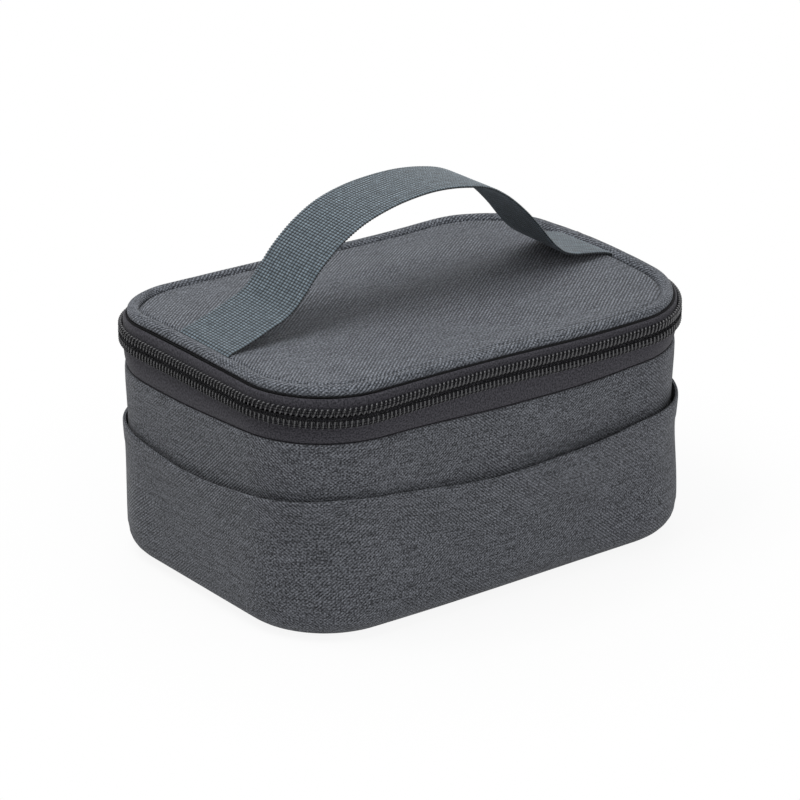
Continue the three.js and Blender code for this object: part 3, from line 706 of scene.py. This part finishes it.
def seam_and_shade_cord(name, out, z, radius, body):
    """A dark line of thread that lies in a seam along the zip; along the upper seam it is also painted shade,
    standing in for the shadow in the groove there. The radius is one number or one for each point.
    """
    lie = slouched(zip_run.s, [(out, z)])[:, 0]
    path = zip_run.places(lie[:, 0], lie[:, 1])
    dress(join_tubes(name, [tube(path, radius, 7)]), THREAD, body, "tape")


# Along the upper seam the dark cord is painted shade for the groove's shadow, and it is thicker along the front,
# where that shadow is broader
broader_shade = smooth(zip_run.s, 190, 330) * (1 - smooth(zip_run.s, 400, 440))
# Painted shade: this dark cord darkens the groove between the roll and the upper tape
seam_and_shade_cord("seam_shade_high", 1.2, 116.85, 0.38 + 0.24 * broader_shade, "lid")
seam_and_shade_cord("seam_low", -1.0, 94.25, 0.17, "tub")

hinge_run = RING.at(np.linspace(ZIP_LENGTH + 0.2, RING.length - 0.2, 60))
hinge = folded("hinge_cloth", hinge_run, np.concatenate([spline(HINGE, 64), TUCK]), 0.5)
hinge.data.materials.append(CLOTH)
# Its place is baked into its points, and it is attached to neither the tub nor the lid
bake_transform(hinge)
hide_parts("hinge_strip_lower", "hinge_strip_upper")


WIRE_RADIUS, TURN_STEPS, ROW_STEPS = 0.44, 14, 6
# How much closer each coil lies to the zip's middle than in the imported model
COIL_NEARER = 0.3
# A coil's three dark rows: height from its middle, radius, and whether the row sinks in along the front. The first
# two are sewn rows, and the last, by the slit, is painted shade over the heads where they interlock
SEWN_AND_SHADE_ROWS = ((1.3, 0.2, False), (0.2, 0.26, True), (-1.95, 0.28, False))


def coil(name, centre_z, side, body, node):
    """A wire coil and three dark rows along it: the first two sew it to its tape, and the one by the slit is painted
    shade, a dark cord over the heads where they interlock in shade. side is 1 where its heads look down, to the other
    coil, and -1 where up."""
    turns = int((ZIP_LENGTH - 3) / PITCH)
    a = np.arange(turns * TURN_STEPS + 1) / TURN_STEPS * 2 * math.pi
    c, q = np.cos(a), np.sin(a)
    s = 1.5 + (a / (2 * math.pi) + (0.5 if side > 0 else 0.0)) * PITCH + 0.3 * side * q
    out = (COIL_IN + COIL_OUT) / 2 + 0.05 + (0.62 * np.sign(c) * np.abs(c) ** 0.7) + CORNER_SHIFT(s)
    half_height = COIL_HIGH / 2 - WIRE_RADIUS + 0.04
    z = centre_z + half_height * np.sign(q) * np.abs(q) ** 0.85 + ZIP_SHIFT(s)
    wire = join_tubes(name, [tube(zip_run.at(s).places(out, z), WIRE_RADIUS, 7)])
    dress(wire, COIL, body, "coil", node)

    s = np.arange(1.5, ZIP_LENGTH - 1.5, PITCH / ROW_STEPS)
    turn = 2 * math.pi * s / PITCH
    at = zip_run.at(s)
    threads = []
    # The last row is painted shade: a dark cord that darkens the interlocked heads by the slit
    for level, radius, sinks in SEWN_AND_SHADE_ROWS:
        out = COIL_OUT - 0.2 + 0.1 * np.cos(turn) + CORNER_SHIFT(s) - sinks * 0.9 * smooth(s, 215, 300)
        z = centre_z + side * level + 0.08 * np.sin(turn) + ZIP_SHIFT(s)
        threads.append(tube(at.places(out, z), radius, 6))
    dress(join_tubes(name + "_thread", threads), THREAD, body, "coil")


coil("coil_low", ZIP_Z - COIL_SLIT / 2 - COIL_HIGH / 2 + COIL_NEARER, -1, "tub", "zip_coil_lower")
coil("coil_high", ZIP_Z + COIL_SLIT / 2 + COIL_HIGH / 2 - COIL_NEARER, 1, "lid", "zip_coil_upper")


# Lid

# The middle of the roll, out from the wall's face, its radius, and the edge of the lid's cloth beside it
ROLL_OUTWARD, ROLL_ROUND = -1.95, 2.75
LID_EDGE = ROLL_OUTWARD - ROLL_ROUND + 0.35
# How the lid leans along x and along y
LEAN_X, LEAN_Y = 0.0229, 0.0379


def piping():
    """The padded roll round the lid, broader on the right and at the back, where it is pressed flat."""
    a = np.linspace(0, 2 * math.pi, 28, endpoint=False)
    s = RING.s[:, None]
    radius = ROLL_ROUND * (1 + 0.02 * waves(s, a[None, :] * 4, 31, 14))
    out = ROLL_OUTWARD + CORNER_SHIFT(s) - ROLL_BROAD(s) / 2 + (radius + ROLL_BROAD(s) / 2) * np.cos(a)[None, :]
    z = ROLL_MIDDLE(s) + radius * np.sin(a)[None, :] + 0.12 * waves(s, 0 * s, 37, 120)
    return sweep("piping_cloth", RING, section_of(out, z))


dress(piping(), LID_CLOTH, "lid", "cloth", "lid_piping")


def lid_height(x, y, share, s):
    """The lid's cloth leans with the bag, puffs up beside the roll and dives into the seam between them."""
    middle = 120.5 - LEAN_X * x - LEAN_Y * y - 0.5 * (1 - share**2)
    sunk = GROOVE(s)
    beside = ROLL_MIDDLE(s) + ROLL_ROUND - 0.2 - 1.1 * sunk
    seam = -(0.3 + 2.0 * sunk) * smooth(share, 0.975, 1.0)
    soft = 0.22 * waves(x, y, 41, 80) * (1 - share**4)
    return middle + (beside - middle) * smooth(share, 0.45, 1.0) + seam + soft


def lid_cloth():
    shares = np.concatenate([np.linspace(0.06, 0.9, 22), np.linspace(0.92, 1.0, 14)])
    return disc("lid_cloth", shares, lid_height, 0.8, LID_EDGE - ROLL_BROAD(RING.s) + CORNER_SHIFT(RING.s))


dress(lid_cloth(), LID_CLOTH, "lid", "cloth", "lid_top_panel", "lid_foam")


# Handle

STRAP_HALF, STRAP_THICK, STRAP_EDGE = 19.0, 1.5, 0.9
# The path's points, x and height, from the left foot over the arch to the right foot
STRAP_PATH = [(-113.0, 121.6), (-110.5, 123.4), (-104, 125.2), (-95, 128.0), (-86, 131.2), (-80, 133.4),
              (-75.9, 135.8), (-69.8, 141.6), (-60.1, 152.5), (-48.8, 161.7), (-36.7, 168.2), (-22, 172.2),
              (-6, 173.9), (10, 173.7), (23, 171.8), (35.5, 168.3), (46.5, 162.1), (55.7, 154.5), (64, 145.8),
              (71.3, 136.9), (77.6, 130.0), (83, 125.9), (89, 123.6), (97, 121.9), (105, 120.4), (110.5, 118.6),
              (112.5, 117.2)]
# The handle twists at its top by the first slope, and its right foot sags to the back by the second one
TWIST, FOOT_SAG = 0.045, 0.04
# How far back the handle lies, on the left, and how much more so on the right
STRAP_Y, STRAP_DRIFT = 0.5, 2.5


def laid(side, wide):
    """Points on the handle, from their x and height along its path and their distance across it."""
    x, z = side[..., 0], side[..., 1]
    tilt = TWIST * smooth(x, -40, 8) * (1 - smooth(x, 35, 62))
    sag = FOOT_SAG * smooth(x, 84, 104) * (wide + STRAP_HALF)
    return np.stack([x, wide + STRAP_Y + STRAP_DRIFT * smooth(x, 50, 100), z - tilt * (wide - 10) - sag], axis=-1)


def strap():
    """The webbing handle, with its basket weave as relief and the ribs that show at its selvedges."""
    path = spline(STRAP_PATH, 880)
    u = np.concatenate([[0], np.cumsum(np.linalg.norm(np.diff(path, axis=0), axis=1))])
    step = np.gradient(path, axis=0)
    normal = np.stack([-step[:, 1], step[:, 0]], axis=1)
    normal /= np.linalg.norm(normal, axis=1)[:, None]
    across = np.linspace(-STRAP_HALF, STRAP_HALF, 49)
    hump = np.abs(np.sin(math.pi * ((across + STRAP_HALF) / CELL))) ** 0.6
    over = np.abs(np.sin(math.pi * u[:, None] / RIB))
    flat = 1 - smooth(np.abs(across), STRAP_HALF - STRAP_EDGE, STRAP_HALF)
    lift = (STRAP_THICK / 2 - 0.3) * (0.35 + 0.65 * flat)[None, :] + 0.3 * hump[None, :] * over**0.7
    selvedge = np.abs(across) > STRAP_HALF - STRAP_EDGE
    wide = across[None, :] * (1 + 0.016 * np.cos(2 * math.pi * u[:, None] / RIB) * selvedge[None, :])
    top = laid(path[:, None] + normal[:, None] * lift[..., None], wide)
    low = laid(path[:, None] - normal[:, None] * lift[..., None], wide)
    points = np.concatenate([low, top[:, ::-1]], axis=1)
    v = np.concatenate([across, across[::-1]]) + STRAP_HALF
    faces, uvs = grid(points, False, u, v)
    rows, cols = points.shape[:2]
    faces += end_caps(rows, cols)
    uvs += [(0, 0)] * (2 * cols)
    return make_object("handle_webbing", points.reshape(-1, 3), faces, uvs, sharp_from=0)


dress(strap(), WEBBING, "lid", "webbing", "handle_strap")


# Inside

# How far in the liner of the wall lies, and how far in and how high that of the floor
LINER_OUT, FLOOR_OUT, FLOOR_Z = -6.9, LEAN - 9.55, 6.95


def liner():
    """The film of the tub's sides, crumpled a little, and turned in at its foot to meet the floor's film."""
    heights = np.linspace(13, 92.6, 26)
    crumple = 0.22 * waves(RING.s[:, None], heights, 51, 26)
    side = slouched(RING.s, section_of(crumple + LINER_OUT, heights))
    foot = np.array([(LEAN - 9.6, FLOOR_Z), (LEAN - 8.2, 7.4), (LEAN - 7.3, 8.6)])
    foot = np.broadcast_to(foot[None], (len(RING), 3, 2))
    inner = np.concatenate([foot, side], axis=1)
    outer = inner.copy()
    outer[..., 0] += 0.3
    outer[:, :3, 1] -= 0.3
    return sweep("liner_side", RING, np.concatenate([outer, inner[:, ::-1]], axis=1))


def liner_floor():
    def height(x, y, share, s):
        return FLOOR_Z + 0.18 * waves(x, y, 57, 30)

    shares = np.concatenate([np.linspace(0.08, 0.96, 16), [0.985, 1.0]])
    return disc("liner_floor", shares, height, 0.3, FLOOR_OUT)


dress(liner(), LINER, "tub", "liner", "liner_tub", "foam_wall")
dress(liner_floor(), LINER, "tub", "liner", "foam_base")

RIM = spline([(-7.4, 85.1), (-7.35, 89), (-7.1, 92.6), (-6.4, 93.5), (-4.5, 93.75), (-2.1, 93.6)], 20)
dress(folded("rim_tape", RING, RIM[::-1], 0.5), TAPE, "tub", "tape", "rim_binding")


def lid_liner():
    def height(x, y, share, s):
        flat = 113.6 - LEAN_X * x - LEAN_Y * y
        return flat + (ROLL_MIDDLE(s) - 4.4 - flat) * smooth(share, 0.5, 1.0) + 0.15 * waves(x, y, 61, 30)

    shares = np.concatenate([np.linspace(0.08, 0.97, 16), [1.0]])
    return disc("lid_film", shares, height, 0.35, LINER_OUT + CORNER_SHIFT(RING.s))


dress(lid_liner(), LINER, "lid", "liner", "lid_liner")

LID_RIM = spline([(-12.6, -5.0), (-9.5, -5.15), (-7.3, -5.4), (-5.2, -5.3), (-3.8, -4.9), (-2.6, -4.1)], 18)
# The lid's binding is given from the middle of the roll and follows it round
lid_rim = thin(LID_RIM, 0.45) + section_of(CORNER_SHIFT(RING.s), ROLL_MIDDLE(RING.s))[:, None]
dress(sweep("lid_rim_tape", RING, lid_rim), TAPE, "lid", "tape", "lid_binding")


# Slider

SOFT_EDGE = 0.22  # the round on the metal's edges, in millimetres

for node in ("slider_body", "slider_pull"):
    made = frame["nodes"][node]
    made.data.materials.clear()
    made.data.materials.append(METAL)
    bevel = made.modifiers.new("soft_edges", "BEVEL")
    bevel.width, bevel.segments = SOFT_EDGE * MM, 3
    bevel.limit_method, bevel.angle_limit = "ANGLE", math.radians(40)


# Floor, light and camera

WHITE = (1.0, 1.0, 1.0, 1.0)
# The floor glows for the rays that show it: fully white far out, a little less close by, where the shadow lies
GLOW_NEAR, GLOW_FAR, NEAR, FAR = 0.9, 1.0, 0.12, 0.24
# The white world, for what it lights and for the rays that show it
WORLD_LIGHT, WORLD_SEEN = 0.42, 1.0
# Lamps: place, what they point at, watts and width
LAMPS = {
    "key": ((-0.34, 0.02, 0.84), (0, 0, 0.1), 4.3, 0.42),
    "fill": ((0.14, -0.94, 0.4), (0, -0.04, 0.07), 2.5, 0.5),
    "rear": ((0.6, 0.62, 0.78), (0, 0, 0.1), 2.2, 0.6),
}
# The camera, solved on the traced photograph: turn, height, distance and shift in metres, and its focal length
AZIMUTH, ELEVATION = math.radians(-37.11), math.radians(23.22)
DISTANCE, SHIFT_RIGHT, SHIFT_UP = 2.4492, -0.00152, 0.06150
FOCAL_PIXELS, PHOTO_PIXELS, SENSOR = 5212.9, 800, 36


def shows(tree):
    """1 for a ray that shows the backdrop, straight, mirrored or through glass, and 0 for one that it lights."""
    path = tree.nodes.new("ShaderNodeLightPath")
    seen = path.outputs["Is Camera Ray"]
    for kind in ("Is Glossy Ray", "Is Transmission Ray"):
        either = tree.nodes.new("ShaderNodeMath")
        either.operation = "MAXIMUM"
        tree.links.new(seen, either.inputs[0])
        tree.links.new(path.outputs[kind], either.inputs[1])
        seen = either.outputs[0]
    return seen


def stage():
    """A white floor that takes the bag's shadow."""
    bpy.ops.mesh.primitive_plane_add(size=6, location=(0, 0, -0.0002))
    floor = bpy.context.object
    floor.name = "floor"
    n = Nodes("floor_white")
    n.shader.inputs["Base Color"].default_value = grey(0.9, 0.9, 0.9)
    n.shader.inputs["Roughness"].default_value = 0.9
    n.shader.inputs["Specular IOR Level"].default_value = 0.0
    glow = n.new("ShaderNodeEmission")
    glow.inputs["Color"].default_value = WHITE
    far = n.new("ShaderNodeVectorMath", operation="LENGTH")
    n.put(far.inputs[0], n.where())
    share = n.math("MULTIPLY", shows(n.tree), n.ramp(far.outputs["Value"], NEAR, FAR, GLOW_NEAR, GLOW_FAR))
    mix = n.new("ShaderNodeMixShader")
    n.put(mix.inputs[0], share)
    n.put(mix.inputs[1], n.shader.outputs[0])
    n.put(mix.inputs[2], glow.outputs[0])
    n.put(n.tree.nodes["Material Output"].inputs["Surface"], mix.outputs[0])
    floor.data.materials.append(n.material)


def world():
    """An even white light from all round, which shows as pure white."""
    made = bpy.data.worlds.new("studio")
    made.use_nodes = True
    bpy.context.scene.world = made
    tree = made.node_tree
    back = tree.nodes["Background"]
    strength = tree.nodes.new("ShaderNodeMapRange")
    tree.links.new(shows(tree), strength.inputs["Value"])
    strength.inputs["To Min"].default_value = WORLD_LIGHT
    strength.inputs["To Max"].default_value = WORLD_SEEN
    tree.links.new(strength.outputs[0], back.inputs["Strength"])
    back.inputs["Color"].default_value = WHITE


def lamp(name, at, towards, power, size):
    data = bpy.data.lights.new(name, "AREA")
    data.energy, data.size = power, size
    made = bpy.data.objects.new(name, data)
    bpy.context.scene.collection.objects.link(made)
    made.location = at
    made.rotation_euler = (Vector(at) - Vector(towards)).to_track_quat("Z", "Y").to_euler()


def camera():
    level = math.cos(ELEVATION)
    back = Vector((math.sin(AZIMUTH) * level, -math.cos(AZIMUTH) * level, math.sin(ELEVATION)))
    right = Vector((math.cos(AZIMUTH), math.sin(AZIMUTH), 0))
    up = back.cross(right)
    data = bpy.data.cameras.new("camera")
    data.lens, data.sensor_width = FOCAL_PIXELS / PHOTO_PIXELS * SENSOR, SENSOR
    made = bpy.data.objects.new("camera", data)
    bpy.context.scene.collection.objects.link(made)
    place = back * DISTANCE + right * SHIFT_RIGHT + up * SHIFT_UP
    made.matrix_world = Matrix.Translation(place) @ Matrix((right, up, back)).transposed().to_4x4()
    bpy.context.scene.camera = made


stage()
world()
for name, settings in LAMPS.items():
    lamp(name, *settings)
camera()
bpy.context.scene.view_settings.view_transform = "Standard"
